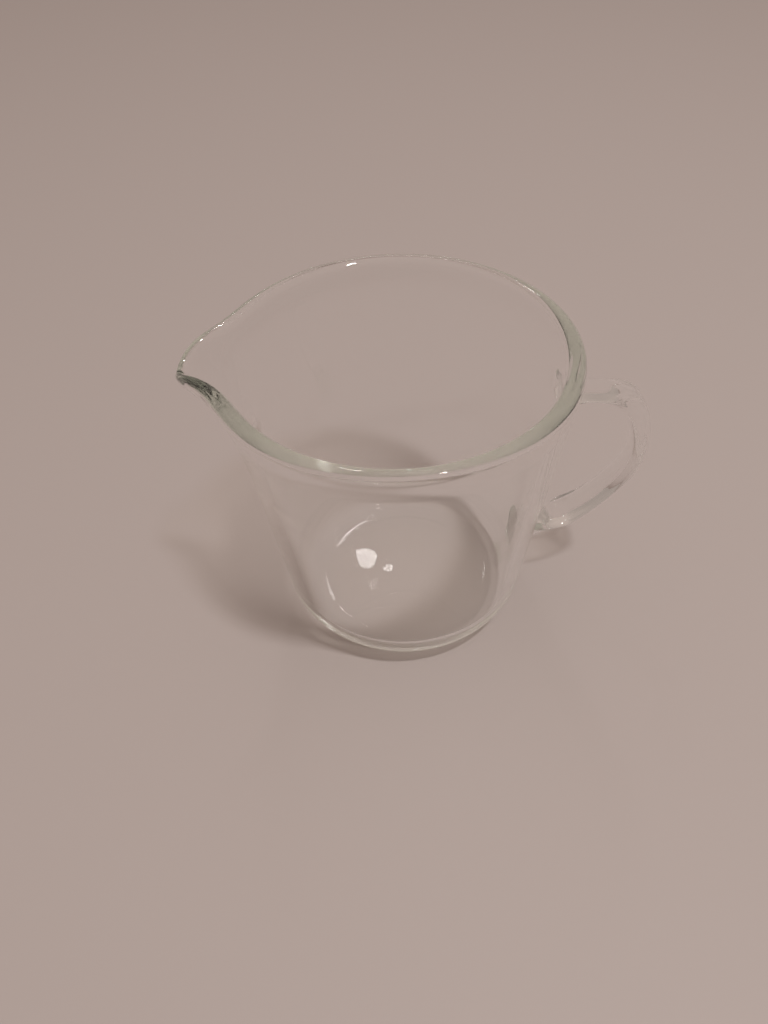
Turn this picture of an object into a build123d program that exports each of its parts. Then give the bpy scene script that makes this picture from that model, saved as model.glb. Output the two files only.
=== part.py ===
"""Pouring jug of clear glass: a tapered vessel with a pulled spout, and a strap handle fused to its side.

Millimetres, +Z up. The origin is on the vessel's axis at the height of the table. +X points to the handle
and -X to the spout, so the XZ plane is the plane of symmetry.
"""

import os
from math import cos, cosh, radians, sin

from build123d import *

# Vessel, outside
HEIGHT = 126.0  # table to the top of the rim
RIM_RADIUS = 65.0  # outside radius at the rim, on the handle's side
HEEL_TOP_RADIUS = 52.6  # outside radius where the rounded heel runs into the wall
HEEL_RADIUS = 16.0  # rounding between the base and the wall
TAPER_TOP = HEIGHT - 3.0  # the wall reaches the rim's radius at this height

# Base: a flat ring to stand on, round a shallow hollow
FOOT_WIDTH = 4.0
HOLLOW_DEPTH = 1.2

# Vessel, glass thickness
WALL = 5.2  # lower and middle wall
RIM_WALL = 6.8  # thickened rim
THICKENING = 14.0  # the wall thickens over this height below the rim
FLOOR = 7.5  # bottom
INNER_HEEL_RADIUS = 11.0  # rounding between the floor and the wall, inside
RIM_OUTER_EDGE = 2.8  # fire-polished rounding of the rim's outer edge
RIM_INNER_EDGE = 1.7  # the same of its inner edge

# Spout, pulled outwards from the rim
SPOUT_START = 84.0  # height where the wall begins to bulge
SPOUT_REACH = 21.0  # bulge at rim height in the middle of the spout
SPOUT_ANGLE_LOW = 4.5  # half-width of the bulge where it starts, in degrees round the axis
SPOUT_ANGLE_HIGH = 6.4  # half-width of the bulge at rim height
SPOUT_GROWTH = 1.5  # power by which the bulge grows with height
RIM_PULL = 1.7  # how far the whole rim was pulled towards the spout
LIP_BEND_X = -69.0  # the pouring lip turns down beyond this line
LIP_BEND_RADIUS = 13.0  # radius of that turn, seen from the side
LIP_BEND_ANGLE = 75.0  # how far the turn goes on, well past the tip

# Sections through the spout's part of the wall. The last one is above the rim and is cut off.
SECTION_HEIGHTS = (88.0, 92.0, 97.0, 102.0, 107.0, 112.0, 117.0, 122.0, 128.0)
SECTION_ANGLES = (0, 22, 45, 68, 90, 110, 128, 142, 152, 159, 164, 168, 171, 174, 177)  # from the handle

# Handle: a flat strap bent into a C, given by its outer and inner lines seen from the side
HANDLE_WIDTH = 12.0
HANDLE_EDGE_RADIUS = 1.8
STRAP_TOP = 105.8  # height of the strap's top face at the wall
STRAP_THICKNESS = 5.2
OUTER_LINE = (  # from the top root over the knuckle and down the back to the lower root
    (77.0, 104.5),
    (85.4, 103.2),
    (91.2, 98.8),
    (95.3, 88.8),
    (97.3, 76.8),
    (96.2, 67.0),
    (92.8, 58.6),
    (87.2, 49.8),
    (80.2, 41.4),
    (72.4, 34.0),
    (54.0, 16.5),
)
INNER_LINE = (  # from the lower root back up to the top root
    (67.6, 40.8),
    (75.6, 46.0),
    (82.4, 53.6),
    (87.6, 61.4),
    (90.4, 68.6),
    (91.0, 76.2),
    (89.2, 85.4),
    (85.0, 93.4),
    (76.8, 99.4),
)
STRAP_DIRECTION = (1.0, -0.02)  # the outer line leaves the top root this way
ROOT_DIRECTION = (-0.62, -1.0)  # and runs into the lower root this way
INNER_LOW_DIRECTION = (1.0, 0.25)  # the inner line leaves the lower root this way
ROOT_TOP = 38.0  # the lower root's upper side meets the wall at this height
ROOT_DEPTH = 3.0  # how far the strap is drawn into the wall before it is trimmed
FLARE_X = 72.0  # seen from above, the strap widens from here to the wall
FLARE = 3.2  # by this much on each side

FAR = 150.0  # beyond every part of the jug

os.makedirs("parts", exist_ok=True)


def wall_radius(z):
    """Outside radius of the tapered wall at a height."""
    slope = (RIM_RADIUS - HEEL_TOP_RADIUS) / (TAPER_TOP - HEEL_RADIUS)
    return HEEL_TOP_RADIUS + slope * (z - HEEL_RADIUS)


def wall_thickness(z):
    """Glass thickness at a height, thicker towards the rim."""
    rise = min(max((z - HEIGHT + THICKENING) / THICKENING, 0.0), 1.0)
    return WALL + (RIM_WALL - WALL) * rise * rise * (3 - 2 * rise)


def section_points(z, inset):
    """Points round the wall at a height, moved inwards by inset, from the handle's side round."""
    share = (z - SPOUT_START) / (HEIGHT - SPOUT_START)
    growth = share**SPOUT_GROWTH
    width = SPOUT_ANGLE_LOW + (SPOUT_ANGLE_HIGH - SPOUT_ANGLE_LOW) * share
    points = []
    for angle in SECTION_ANGLES + (180,) + tuple(360 - a for a in reversed(SECTION_ANGLES[1:])):
        from_spout = abs(180 - angle)
        radius = wall_radius(z) - inset
        radius += RIM_PULL * growth * (1 + cos(radians(from_spout)))
        radius += SPOUT_REACH * growth / cosh(from_spout / width)
        points.append((radius * cos(radians(angle)), radius * sin(radians(angle))))
    return points


def turned_profile(bottom, heel, inset):
    """Half outline of the turned part: flat bottom, heel, and wall up to the spout's start."""
    heel_top = bottom + heel
    low = (wall_radius(heel_top) - inset, heel_top)
    high = (wall_radius(SPOUT_START) - inset, SPOUT_START)
    edge = (low[0] - heel, bottom)
    Polyline(high, (0, SPOUT_START), (0, bottom), edge)
    Line(high, low)
    TangentArc(low, edge, tangent=(low[0] - high[0], low[1] - high[1]))


# Cavity of the vessel, which is taken out of the solid shape below
with BuildPart() as cavity:
    with BuildSketch(Plane.XZ):
        with BuildLine():
            turned_profile(FLOOR, INNER_HEEL_RADIUS, WALL)
        make_face()
    revolve(axis=Axis.Z)
    sections = [cavity.faces().sort_by(Axis.Z)[-1]]
    for z in SECTION_HEIGHTS:
        with BuildSketch(Plane.XY.offset(z), mode=Mode.PRIVATE) as section:
            with BuildLine():
                Spline(*section_points(z, wall_thickness(z)), periodic=True)
            make_face()
        sections.append(section.sketch.face())
    loft(sections=sections)

# Vessel, first as a solid shape
with BuildPart() as vessel:
    with BuildSketch(Plane.XZ):
        with BuildLine():
            turned_profile(0.0, HEEL_RADIUS, 0.0)
        make_face()
    revolve(axis=Axis.Z)
    sections = [vessel.faces().sort_by(Axis.Z)[-1]]
    for z in SECTION_HEIGHTS:
        with BuildSketch(Plane.XY.offset(z), mode=Mode.PRIVATE) as section:
            with BuildLine():
                Spline(*section_points(z, 0.0), periodic=True)
            make_face()
        sections.append(section.sketch.face())
    loft(sections=sections)

    # everything above the rim, which turns down over the pouring lip
    with BuildSketch(Plane.XZ):
        with BuildLine():
            bend = JernArc((LIP_BEND_X, HEIGHT), (-1, 0), LIP_BEND_RADIUS, LIP_BEND_ANGLE)
            low = bend @ 1
            Polyline(low, (-FAR, low.Y), (-FAR, FAR), (FAR, FAR), (FAR, HEIGHT), (LIP_BEND_X, HEIGHT))
        make_face()
    extrude(amount=FAR, both=True, mode=Mode.SUBTRACT)
    outer_edges = vessel.edges().filter_by(lambda e: e.bounding_box().min.Z > HEIGHT - THICKENING)
    fillet(outer_edges.filter_by(GeomType.BSPLINE), radius=RIM_OUTER_EDGE)

    add(cavity.part, mode=Mode.SUBTRACT)
    cut_edges = vessel.edges(Select.LAST)
    inner_edges = cut_edges.filter_by(lambda e: e.bounding_box().min.Z > HEIGHT - THICKENING)
    fillet(inner_edges.filter_by(GeomType.BSPLINE), radius=RIM_INNER_EDGE)

    # shallow spherical hollow under the base, so that it stands on a ring
    hollow_radius = HEEL_TOP_RADIUS - HEEL_RADIUS - FOOT_WIDTH
    sphere_radius = (hollow_radius**2 + HOLLOW_DEPTH**2) / (2 * HOLLOW_DEPTH)
    with BuildSketch(Plane.XZ):
        with BuildLine():
            Line((0, 0), (hollow_radius, 0))
            RadiusArc((hollow_radius, 0), (0, HOLLOW_DEPTH), -sphere_radius)
            Line((0, HOLLOW_DEPTH), (0, 0))
        make_face()
    revolve(axis=Axis.Z, mode=Mode.SUBTRACT)

vessel.part.label = "vessel"
export_step(vessel.part, "parts/vessel.step")

# Handle
with BuildPart() as handle:
    with BuildSketch(Plane.XZ.offset(HANDLE_WIDTH)):
        with BuildLine():
            strap_x = wall_radius(STRAP_TOP) - ROOT_DEPTH
            root_x = wall_radius(ROOT_TOP) - ROOT_DEPTH
            outer = Spline((strap_x, STRAP_TOP), *OUTER_LINE, tangents=[STRAP_DIRECTION, ROOT_DIRECTION])
            end = Line(outer @ 1, (root_x, ROOT_TOP))
            inner_high = (strap_x, STRAP_TOP - STRAP_THICKNESS)
            inner = Spline(end @ 1, *INNER_LINE, inner_high, tangents=[INNER_LOW_DIRECTION, (-1, 0)])
            Line(inner_high, outer @ 0)
        make_face()
    extrude(amount=-2 * HANDLE_WIDTH)

    # seen from above, the strap widens into its roots
    with BuildSketch(Plane.XY):
        with BuildLine():
            half = HANDLE_WIDTH / 2
            flare_end = (root_x - ROOT_DEPTH, half + FLARE)
            flare_middle = ((FLARE_X + flare_end[0]) / 2, half + FLARE / 4)
            Line((FAR, 0), (FAR, half))
            Line((FAR, half), (FLARE_X, half))
            ThreePointArc((FLARE_X, half), flare_middle, flare_end)
            Line(flare_end, (flare_end[0], 0))
            mirror(about=Plane.XZ)
        make_face()
    extrude(amount=HEIGHT, mode=Mode.INTERSECT)
    side_edges = handle.edges().filter_by(lambda e: abs(e.center().Y) > half - HANDLE_EDGE_RADIUS / 2)
    fillet(side_edges.filter_by(lambda e: e.bounding_box().size.X > ROOT_DEPTH), radius=HANDLE_EDGE_RADIUS)
    add(vessel.part, mode=Mode.SUBTRACT)
handle.part.label = "handle"
export_step(handle.part, "parts/handle.step")
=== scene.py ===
"""Looks of the glass pouring jug: smooth meshes for the vessel and its handle, clear glass, a pale
floor and soft light. The shapes are worked out in millimetres in the CAD model's frame, and made in
metres."""
from math import cos, cosh, pi, radians, sin, sqrt

import bpy
import numpy as np
from mathutils import Matrix, Vector


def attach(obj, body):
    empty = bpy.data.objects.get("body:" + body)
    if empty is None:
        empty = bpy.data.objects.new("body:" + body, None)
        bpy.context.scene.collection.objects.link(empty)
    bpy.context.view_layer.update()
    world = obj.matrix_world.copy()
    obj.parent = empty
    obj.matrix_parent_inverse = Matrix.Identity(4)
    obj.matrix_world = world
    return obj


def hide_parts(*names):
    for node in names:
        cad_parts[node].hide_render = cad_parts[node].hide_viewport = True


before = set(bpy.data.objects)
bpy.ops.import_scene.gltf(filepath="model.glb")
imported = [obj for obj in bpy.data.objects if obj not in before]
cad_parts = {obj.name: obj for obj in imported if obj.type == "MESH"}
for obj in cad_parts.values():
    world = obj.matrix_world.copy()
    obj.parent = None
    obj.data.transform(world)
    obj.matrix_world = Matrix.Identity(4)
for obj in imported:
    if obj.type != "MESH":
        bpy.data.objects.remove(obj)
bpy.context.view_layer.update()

MM = 0.001

# Vessel, as in the CAD model
HEIGHT = 126.0
RIM_RADIUS = 65.0
HEEL_TOP_RADIUS = 52.6
HEEL_RADIUS = 16.0
TAPER_TOP = HEIGHT - 3.0
FOOT_WIDTH = 4.0
HOLLOW_DEPTH = 1.2
WALL = 5.2
RIM_WALL = 6.8
THICKENING = 14.0
FLOOR = 7.5
INNER_HEEL_RADIUS = 11.0
RIM_OUTER_EDGE = 3.5  # length of the rounding's sides, down the wall and over the rim
RIM_INNER_EDGE = 3.0

# Spout
SPOUT_START = 84.0
SPOUT_REACH = 21.0
SPOUT_ANGLE_LOW = 4.5
SPOUT_ANGLE_HIGH = 6.4
SPOUT_EASE = 0.05  # softens the foot of the bulge
RIM_PULL = 1.7
LIP_BEND_X = -69.0
LIP_BEND_RADIUS = 13.0
LIP_BEND_END = 0.96  # the turn stops just before it stands upright

# Handle: where the outer and the inner line of the strap are, seen from the side, and half its width
STATIONS = (
    ((69.0, 105.4), (70.0, 100.3), 6.1),
    ((77.0, 104.5), (76.8, 99.4), 6.0),
    ((85.4, 103.2), (82.0, 97.0), 6.0),
    ((91.2, 98.8), (85.9, 92.8), 6.0),
    ((95.3, 88.8), (89.2, 85.4), 6.0),
    ((97.3, 76.8), (91.0, 76.2), 6.0),
    ((96.2, 67.0), (90.4, 68.6), 6.0),
    ((92.8, 58.6), (87.6, 61.4), 6.0),
    ((87.2, 49.8), (82.4, 53.6), 6.0),
    ((80.2, 41.4), (75.6, 46.0), 6.1),
    ((72.4, 34.0), (67.6, 40.8), 6.5),
)
STRAP_EDGE = 2.0  # rounding of the strap's long edges
STRAP_CROWN = 0.35  # how far its faces bulge in the middle
ROOT_SINK = 0.15  # the handle's ends reach this far into the wall
ROOT_ROUNDNESS = 0.8  # corner radius of a root's outline, as a share of its smaller half size
ROOT_LEAVE = 1.2  # how far a root carries on in the strap's direction
ROOT_SPREAD = 0.75  # how far it spreads over the wall before it meets it
TOP_ROOT = (103.0, 5.0, 9.8)  # height, half height and half width of the upper root on the wall
LOW_ROOT = (27.0, 11.5, 9.0)

# Fineness of the meshes
COLUMNS = 256  # sections round the vessel
HOLLOW_STEPS = 14
FOOT_STEPS = 4
HEEL_STEPS = 16
OUTER_WALL_STEPS = 56
EDGE_STEPS = 7
INNER_WALL_STEPS = 53
INNER_HEEL_STEPS = 14
FLOOR_STEPS = 12
STRAP_RINGS = 84
TOP_ROOT_RINGS = 14
LOW_ROOT_RINGS = 20
CORNER_ROUNDS = 60  # repeats until the rim's sharp corner is found
CORNER_STEP = 0.6  # share of the difference made up in each of them

# Looks
GLASS_IOR = 1.5
SMUDGE_SCALE = 38.0
SMUDGE_ROUGHNESS = 0.05  # roughness where the smudges are strongest
WAVE_SCALE = 55.0
WAVE_HEIGHT = 0.000015
EDGE_SHADE = 0.16  # light that passes a surface at a grazing angle
SLANT_SHADES = ((0.4, 0.97), (0.7, 0.75))  # the same at two lesser slants
FLOOR_SIZE = 12.0
FLOOR_DROP = 0.0001  # keeps the floor clear of the foot ring
LIGHT_BOUNCES = 64  # light runs a long way inside thick glass

# Camera, at the photograph's viewing angle
CAMERA_PLACE = (-0.00825, -0.2308, 0.2884)
CAMERA_PITCH = 46.98
CAMERA_ROLL = 2.57
SENSOR_WIDTH = 36.0
FOCAL_SHARE = 785.0 / 1024.0  # focal length as a share of the sensor's width


def wall_radius(z):
    slope = (RIM_RADIUS - HEEL_TOP_RADIUS) / (TAPER_TOP - HEEL_RADIUS)
    return HEEL_TOP_RADIUS + slope * (z - HEEL_RADIUS)


def wall_thickness(z):
    rise = min(max((z - HEIGHT + THICKENING) / THICKENING, 0.0), 1.0)
    return WALL + (RIM_WALL - WALL) * rise * rise * (3 - 2 * rise)


def outer_radius(angle, z):
    """Radius of the outer face at an angle from the handle, in degrees, and a height."""
    radius = wall_radius(z)
    if z <= SPOUT_START:
        return radius
    share = (z - SPOUT_START) / (HEIGHT - SPOUT_START)
    growth = share * share * sqrt((1 + SPOUT_EASE) / (share + SPOUT_EASE))
    width = SPOUT_ANGLE_LOW + (SPOUT_ANGLE_HIGH - SPOUT_ANGLE_LOW) * share
    away = abs(180.0 - angle)
    radius += RIM_PULL * growth * (1 + cos(radians(away)))
    return radius + SPOUT_REACH * growth / cosh(away / width)


def inner_radius(angle, z):
    """Radius of the inner face at the same place."""
    return outer_radius(angle, z) - wall_thickness(z)


def lip_height(x):
    """Height of the rim above a point, which falls over the pouring lip."""
    beyond = min(LIP_BEND_X - x, LIP_BEND_END * LIP_BEND_RADIUS)
    if beyond <= 0:
        return HEIGHT
    return HEIGHT - LIP_BEND_RADIUS + sqrt(LIP_BEND_RADIUS**2 - beyond**2)


def corner(face, angle):
    """(radius, height) where one of the two faces meets the rim's top at an angle."""
    z = HEIGHT
    for _ in range(CORNER_ROUNDS):
        z += CORNER_STEP * (lip_height(face(angle, z) * cos(radians(angle))) - z)
    return face(angle, z), z


def arc_points(start, heading, end, count):
    """Points on the arc from start to end that sets out in a direction, without start itself."""
    start, end, heading = Vector(start), Vector(end), Vector(heading).normalized()
    chord = end - start
    turn = 2 * heading.angle_signed(chord, 0.0)
    points = []
    for i in range(1, count + 1):
        part = turn * i / count
        length = chord.length * sin(part / 2) / sin(turn / 2)
        direction = Matrix.Rotation(-part / 2, 2) @ heading
        points.append(tuple(start + direction * length))
    return points


def rounding(before, at, after, count):
    """Points of a round edge from before to after, where at is the sharp corner."""
    before, at, after = Vector(before), Vector(at), Vector(after)
    weight = sin((before - at).angle(after - at) / 2)
    points = []
    for i in range(count + 1):
        t = i / count
        a, b, c = (1 - t) ** 2, 2 * t * (1 - t) * weight, t * t
        points.append(tuple((before * a + at * b + after * c) / (a + b + c)))
    return points


def column(angle):
    """The vessel's section at one angle, as (radius, height): underside, wall, rim, inside."""
    hollow = HEEL_TOP_RADIUS - HEEL_RADIUS - FOOT_WIDTH
    sphere = (hollow**2 + HOLLOW_DEPTH**2) / (2 * HOLLOW_DEPTH)
    points = []
    for i in range(1, HOLLOW_STEPS + 1):
        r = hollow * i / HOLLOW_STEPS
        points.append((r, HOLLOW_DEPTH - sphere + sqrt(sphere**2 - r**2)))
    points += [(hollow + FOOT_WIDTH * i / FOOT_STEPS, 0.0) for i in range(1, FOOT_STEPS)]

    # heel and outer wall
    slope = wall_radius(1.0) - wall_radius(0.0)
    heel_top = (HEEL_TOP_RADIUS, HEEL_RADIUS)
    heel_end = (HEEL_TOP_RADIUS - HEEL_RADIUS, 0.0)
    heel = arc_points(heel_top, (-slope, -1.0), heel_end, HEEL_STEPS)
    points += heel[::-1] + [heel_top]
    outer_r, outer_z = corner(outer_radius, angle)
    inner_r, inner_z = corner(inner_radius, angle)
    top = outer_z - RIM_OUTER_EDGE
    for i in range(1, OUTER_WALL_STEPS):
        z = HEEL_RADIUS + (top - HEEL_RADIUS) * i / OUTER_WALL_STEPS
        points.append((outer_radius(angle, z), z))

    # rim
    side = cos(radians(angle))
    span = outer_r - inner_r
    r = outer_r - RIM_OUTER_EDGE * span / RIM_WALL
    crest_out = (r, lip_height(r * side))
    wall_top = (outer_radius(angle, top), top)
    points += rounding(wall_top, (outer_r, outer_z), crest_out, EDGE_STEPS)
    r = inner_r + RIM_INNER_EDGE * span / RIM_WALL
    crest_in = (r, lip_height(r * side))
    low = inner_z - RIM_INNER_EDGE
    wall_low = (inner_radius(angle, low), low)
    points += rounding(crest_in, (inner_r, inner_z), wall_low, EDGE_STEPS)

    # inner wall, inner heel and floor
    floor_top = FLOOR + INNER_HEEL_RADIUS
    for i in range(1, INNER_WALL_STEPS):
        z = low + (floor_top - low) * i / INNER_WALL_STEPS
        points.append((inner_radius(angle, z), z))
    r = wall_radius(floor_top) - WALL
    points.append((r, floor_top))
    edge = r - INNER_HEEL_RADIUS
    points += arc_points((r, floor_top), (-slope, -1.0), (edge, FLOOR), INNER_HEEL_STEPS)
    points += [(edge * (1 - i / FLOOR_STEPS), FLOOR) for i in range(1, FLOOR_STEPS)]
    return points


def column_angles(count):
    """Angles round the vessel, closer together at the spout."""
    fine = np.linspace(0.0, 360.0, 7201)
    density = 1.0 + 2.2 * np.exp(-(((fine - 180.0) / 20.0) ** 2))
    total = np.concatenate([[0.0], np.cumsum((density[1:] + density[:-1]) / 2)])
    return np.interp(np.arange(count) * total[-1] / count, total, fine)


def make_piece(name, points, faces, material):
    mesh = bpy.data.meshes.new(name)
    mesh.from_pydata([[c * MM for c in p] for p in points], [], faces)
    mesh.validate()
    mesh.update()
    mesh.polygons.foreach_set("use_smooth", [True] * len(mesh.polygons))
    piece = bpy.data.objects.new(name, mesh)
    bpy.context.scene.collection.objects.link(piece)
    mesh.materials.append(material)
    return piece


def ring_faces(first, second, count):
    """Quads between two rings of points, which begin at the indices first and second."""
    faces = []
    for i in range(count):
        j = (i + 1) % count
        faces.append((first + i, first + j, second + j, second + i))
    return faces


def make_vessel(material):
    angles = column_angles(COLUMNS)
    count = len(angles)
    columns = [column(a) for a in angles]
    rows = len(columns[0])
    points = []
    for row in range(rows):
        for a, section in zip(angles, columns):
            r, z = section[row]
            points.append((r * cos(radians(a)), r * sin(radians(a)), z))
    faces = []
    for row in range(rows - 1):
        faces += ring_faces(row * count, (row + 1) * count, count)
    under = len(points)
    points += [(0.0, 0.0, HOLLOW_DEPTH), (0.0, 0.0, FLOOR)]
    last = (rows - 1) * count
    for i in range(count):
        j = (i + 1) % count
        faces.append((under, j, i))
        faces.append((under + 1, last + i, last + j))
    return make_piece("vessel_glass", points, faces, material)


def smooth_line(knots, count):
    """Points on a smooth curve through the knots, which are rows of numbers, evenly spread."""
    knots = np.array(knots, dtype=float)
    steps = np.linalg.norm(np.diff(knots[:, :4], axis=0), axis=1)
    at = np.concatenate([[0.0], np.cumsum(steps)])
    n = len(at)
    a = np.zeros((n, n))
    b = np.zeros((n, knots.shape[1]))
    a[0, 0] = a[-1, -1] = 1.0
    for i in range(1, n - 1):
        before, after = at[i] - at[i - 1], at[i + 1] - at[i]
        a[i, i - 1 : i + 2] = before, 2 * (before + after), after
        b[i] = 6 * ((knots[i + 1] - knots[i]) / after - (knots[i] - knots[i - 1]) / before)
    bend = np.linalg.solve(a, b)
    out = []
    for t in np.linspace(0.0, at[-1], count):
        i = min(np.searchsorted(at, t, side="right") - 1, n - 2)
        h = at[i + 1] - at[i]
        u, v = (at[i + 1] - t) / h, (t - at[i]) / h
        curve = ((u**3 - u) * bend[i] + (v**3 - v) * bend[i + 1]) * h * h / 6
        out.append(u * knots[i] + v * knots[i + 1] + curve)
    return np.array(out)


def section_outline(half_a, half_b, edge, crown):
    """Points round a rounded rectangle with these half sizes, crowned on its four sides."""
    points = []
    for quarter in range(4):
        for i in range(6):
            turn = pi / 2 * (quarter + i / 5)
            x = edge * cos(turn) + (half_a - edge) * (1 if quarter in (0, 3) else -1)
            y = edge * sin(turn) + (half_b - edge) * (1 if quarter in (0, 1) else -1)
            points.append((x, y))
        for i in range(1, 6):
            s = 1 - i / 3
            if quarter == 0:
                points.append(((half_a - edge) * s, half_b))
            elif quarter == 1:
                points.append((-half_a, (half_b - edge) * s))
            elif quarter == 2:
                points.append((-(half_a - edge) * s, -half_b))
            else:
                points.append((half_a, -(half_b - edge) * s))
    out = []
    for x, y in points:
        u, v = x / half_a, y / half_b
        bulge_x = crown * (1 - v * v) * u
        bulge_y = crown * (1 - u * u) * v
        out.append((x + bulge_x, y + bulge_y))
    return out


def on_wall(y, z, out):
    """X of the point at (y, z) on the handle's side of the wall, moved outwards by out."""
    return sqrt(max(wall_radius(z) ** 2 - y * y, 0.0)) + out


def root_rings(ring, along, root, count):
    """Rings from the strap's end to its root on the wall, flaring as a fillet, and the root's own face."""
    height, half_z, half_y = root
    target = []
    for u, v in section_outline(half_z, half_y, min(half_z, half_y) * ROOT_ROUNDNESS, 0.0):
        target.append((v, height + u))
    rings = []
    for k in range(1, count + 1):
        t = k / count
        h00, h10 = 2 * t**3 - 3 * t**2 + 1, t**3 - 2 * t**2 + t
        h01, h11 = -2 * t**3 + 3 * t**2, t**3 - t**2
        made = []
        for p, (y, z) in zip(ring, target):
            end = np.array((on_wall(y, z, -ROOT_SINK), y, z))
            reach = np.linalg.norm(end - p)
            spread = np.array((0.0, y, z - height))
            spread /= max(np.linalg.norm(spread), 1e-6)
            leave = along * reach * ROOT_LEAVE
            arrive = spread * reach * ROOT_SPREAD
            made.append(h00 * p + h10 * leave + h01 * end + h11 * arrive)
        rings.append(made)
    for scale in (0.8, 0.6, 0.4, 0.2):
        made = []
        for y, z in target:
            inner_y, inner_z = y * scale, height + (z - height) * scale
            made.append(np.array((on_wall(inner_y, inner_z, -ROOT_SINK), inner_y, inner_z)))
        rings.append(made)
    return rings, np.array((on_wall(0.0, height, -ROOT_SINK), 0.0, height))


def make_handle(material):
    line = smooth_line([(*o, *i, w) for o, i, w in STATIONS], STRAP_RINGS)
    rings = []
    for ox, oz, ix, iz, half_width in line:
        middle = np.array(((ox + ix) / 2, 0.0, (oz + iz) / 2))
        out = np.array((ox - ix, 0.0, oz - iz))
        half = np.linalg.norm(out) / 2
        out /= 2 * half
        outline = section_outline(half - STRAP_CROWN, half_width, STRAP_EDGE, STRAP_CROWN)
        rings.append([middle + out * u + np.array((0.0, v, 0.0)) for u, v in outline])
    start = np.mean(rings[0], axis=0) - np.mean(rings[1], axis=0)
    finish = np.mean(rings[-1], axis=0) - np.mean(rings[-2], axis=0)
    start /= np.linalg.norm(start)
    finish /= np.linalg.norm(finish)
    top, top_middle = root_rings(rings[0], start, TOP_ROOT, TOP_ROOT_RINGS)
    low, low_middle = root_rings(rings[-1], finish, LOW_ROOT, LOW_ROOT_RINGS)
    rings = top[::-1] + rings + low
    count = len(rings[0])
    points = [tuple(p) for ring in rings for p in ring]
    faces = []
    for k in range(len(rings) - 1):
        faces += ring_faces((k + 1) * count, k * count, count)
    first, last = len(points), len(points) + 1
    points += [tuple(top_middle), tuple(low_middle)]
    end = (len(rings) - 1) * count
    for i in range(count):
        j = (i + 1) % count
        faces.append((first, i, j))
        faces.append((last, end + j, end + i))
    return make_piece("handle_glass", points, faces, material)


def glass(name, tint, density):
    """Clear glass: a slight tint by its depth, a faint unevenness of the surface and faint smudges."""
    material = bpy.data.materials.new(name)
    material.use_nodes = True
    nodes, links = material.node_tree.nodes, material.node_tree.links
    shader = nodes["Principled BSDF"]
    shader.inputs["Base Color"].default_value = (1.0, 1.0, 1.0, 1.0)
    shader.inputs["Transmission Weight"].default_value = 1.0
    shader.inputs["IOR"].default_value = GLASS_IOR
    absorption = nodes.new("ShaderNodeVolumeAbsorption")
    absorption.inputs["Color"].default_value = (*tint, 1.0)
    absorption.inputs["Density"].default_value = density
    links.new(absorption.outputs["Volume"], nodes["Material Output"].inputs["Volume"])

    place = nodes.new("ShaderNodeTexCoord")
    smudge = nodes.new("ShaderNodeTexNoise")
    smudge.inputs["Scale"].default_value = SMUDGE_SCALE
    smudge.inputs["Detail"].default_value = 3.0
    spread = nodes.new("ShaderNodeMapRange")
    spread.inputs["From Min"].default_value = 0.5
    spread.inputs["From Max"].default_value = 0.8
    spread.inputs["To Min"].default_value = 0.0
    spread.inputs["To Max"].default_value = SMUDGE_ROUGHNESS
    links.new(place.outputs["Object"], smudge.inputs["Vector"])
    links.new(smudge.outputs["Fac"], spread.inputs["Value"])
    links.new(spread.outputs["Result"], shader.inputs["Roughness"])

    waves = nodes.new("ShaderNodeTexNoise")
    waves.inputs["Scale"].default_value = WAVE_SCALE
    waves.inputs["Detail"].default_value = 1.0
    bump = nodes.new("ShaderNodeBump")
    bump.inputs["Strength"].default_value = 1.0
    bump.inputs["Distance"].default_value = WAVE_HEIGHT
    links.new(place.outputs["Object"], waves.inputs["Vector"])
    links.new(waves.outputs["Fac"], bump.inputs["Height"])
    links.new(bump.outputs["Normal"], shader.inputs["Normal"])

    # shadow rays and rays from matt surfaces pass straight through, weaker where they graze the glass, so
    # that the shadow is that of clear glass
    slant = nodes.new("ShaderNodeLayerWeight")
    slant.inputs["Blend"].default_value = 0.5
    shade = nodes.new("ShaderNodeValToRGB")
    shade.color_ramp.elements[1].color = (EDGE_SHADE, EDGE_SHADE - 0.01, EDGE_SHADE - 0.02, 1.0)
    shade.color_ramp.elements[0].color = (1.0, 1.0, 1.0, 1.0)
    for position, grey in SLANT_SHADES:
        shade.color_ramp.elements.new(position).color = (grey, grey * 0.99, grey * 0.97, 1.0)
    passing = nodes.new("ShaderNodeBsdfTransparent")
    path = nodes.new("ShaderNodeLightPath")
    either = nodes.new("ShaderNodeMath")
    either.operation = "MAXIMUM"
    mix = nodes.new("ShaderNodeMixShader")
    links.new(slant.outputs["Facing"], shade.inputs["Fac"])
    links.new(shade.outputs["Color"], passing.inputs["Color"])
    links.new(path.outputs["Is Shadow Ray"], either.inputs[0])
    links.new(path.outputs["Is Diffuse Ray"], either.inputs[1])
    links.new(either.outputs["Value"], mix.inputs["Fac"])
    links.new(shader.outputs["BSDF"], mix.inputs[1])
    links.new(passing.outputs["BSDF"], mix.inputs[2])
    links.new(mix.outputs["Shader"], nodes["Material Output"].inputs["Surface"])
    return material


vessel = make_vessel(glass("clear_glass_vessel", (0.66, 0.93, 0.64), 0.6))
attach(vessel, "root")
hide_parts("vessel")
handle = make_handle(glass("clear_glass_handle", (0.70, 0.88, 0.72), 0.5))
handle.data.set_sharp_from_angle(angle=radians(60.0))
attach(handle, "root")
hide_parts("handle")


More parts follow.
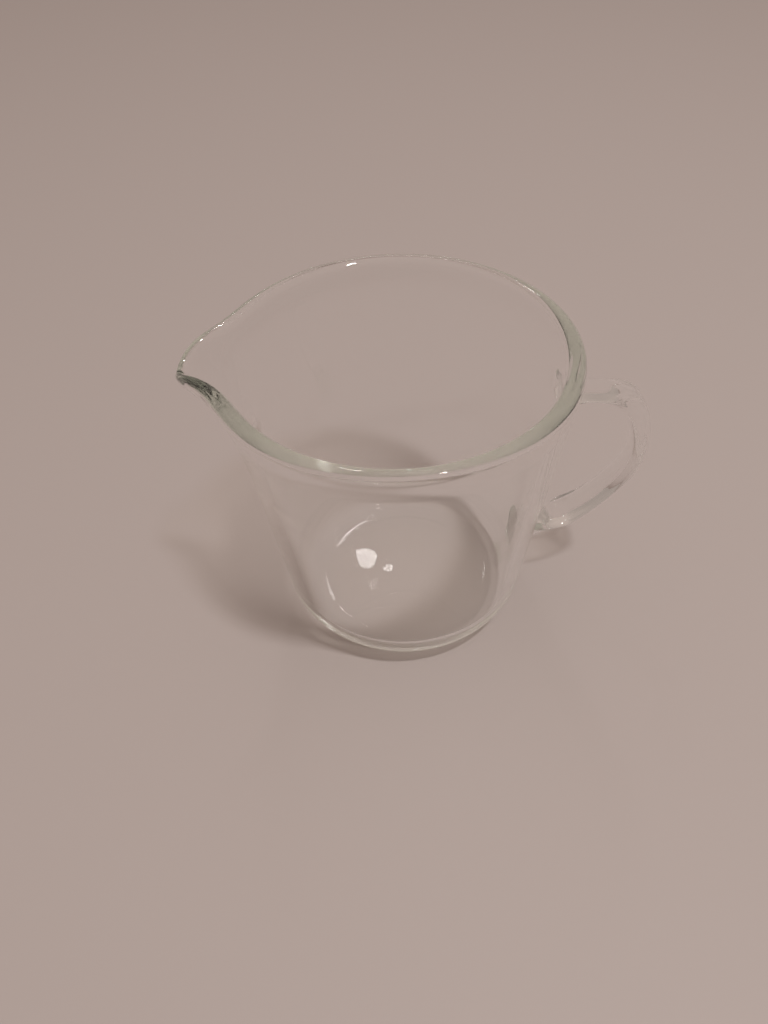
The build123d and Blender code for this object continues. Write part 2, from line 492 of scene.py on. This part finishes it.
# Floor
def make_floor():
    mesh = bpy.data.meshes.new("floor")
    half = FLOOR_SIZE / 2
    corners = [(-half, -half, 0), (half, -half, 0), (half, half, 0), (-half, half, 0)]
    mesh.from_pydata(corners, [], [(0, 1, 2, 3)])
    floor = bpy.data.objects.new("floor", mesh)
    floor.location.z = -FLOOR_DROP
    bpy.context.scene.collection.objects.link(floor)
    material = bpy.data.materials.new("pale_floor")
    material.use_nodes = True
    shader = material.node_tree.nodes["Principled BSDF"]
    shader.inputs["Base Color"].default_value = (0.50, 0.447, 0.434, 1.0)
    shader.inputs["Roughness"].default_value = 0.6
    mesh.materials.append(material)


make_floor()


# Light: a soft room, a ceiling lamp and a small lamp behind the jug
def make_lamp(name, place, size, power, colour):
    data = bpy.data.lights.new(name, "AREA")
    data.shape = "DISK"
    data.size = size
    data.energy = power
    data.color = colour
    lamp = bpy.data.objects.new(name, data)
    lamp.location = place
    lamp.rotation_mode = "QUATERNION"
    lamp.rotation_quaternion = Vector(place).to_track_quat("Z", "Y")
    bpy.context.scene.collection.objects.link(lamp)


make_lamp("ceiling_lamp", (0.50, -0.48, 1.85), 0.14, 15.5, (1.0, 0.965, 0.93))
make_lamp("far_lamp", (-0.115, 1.35, 1.60), 0.10, 1.2, (1.0, 0.97, 0.95))

world = bpy.data.worlds.new("room")
world.use_nodes = True
nodes, links = world.node_tree.nodes, world.node_tree.links
place = nodes.new("ShaderNodeTexCoord")
split = nodes.new("ShaderNodeSeparateXYZ")
ramp = nodes.new("ShaderNodeValToRGB")
ramp.color_ramp.elements[0].position = 0.0
ramp.color_ramp.elements[0].color = (0.36, 0.30, 0.265, 1.0)
ramp.color_ramp.elements[1].position = 0.8
ramp.color_ramp.elements[1].color = (0.54, 0.44, 0.385, 1.0)
links.new(place.outputs["Generated"], split.inputs["Vector"])
links.new(split.outputs["Z"], ramp.inputs["Fac"])
near_side = nodes.new("ShaderNodeMapRange")
near_side.inputs["From Min"].default_value = -1.0
near_side.inputs["From Max"].default_value = -0.3
near_side.inputs["To Min"].default_value = 0.56
near_side.inputs["To Max"].default_value = 0.92
links.new(split.outputs["Y"], near_side.inputs["Value"])
links.new(near_side.outputs["Result"], nodes["Background"].inputs["Strength"])
links.new(ramp.outputs["Color"], nodes["Background"].inputs["Color"])
scene = bpy.context.scene
scene.world = world
scene.view_settings.view_transform = "Standard"
scene.cycles.max_bounces = LIGHT_BOUNCES
scene.cycles.glossy_bounces = LIGHT_BOUNCES
scene.cycles.transmission_bounces = LIGHT_BOUNCES
scene.cycles.transparent_max_bounces = 16


def make_camera():
    pitch, roll = radians(CAMERA_PITCH), radians(CAMERA_ROLL)
    forward = Vector((0.0, cos(pitch), -sin(pitch)))
    right = Vector((1.0, 0.0, 0.0))
    down = forward.cross(right)
    x_axis = cos(roll) * right + sin(roll) * down
    y_axis = sin(roll) * right - cos(roll) * down
    data = bpy.data.cameras.new("camera")
    data.sensor_width = SENSOR_WIDTH
    data.lens = FOCAL_SHARE * SENSOR_WIDTH
    data.clip_start = 0.01
    camera = bpy.data.objects.new("camera", data)
    place = Matrix((x_axis, y_axis, -forward)).transposed().to_4x4()
    place.translation = CAMERA_PLACE
    camera.matrix_world = place
    scene.collection.objects.link(camera)
    scene.camera = camera


make_camera()
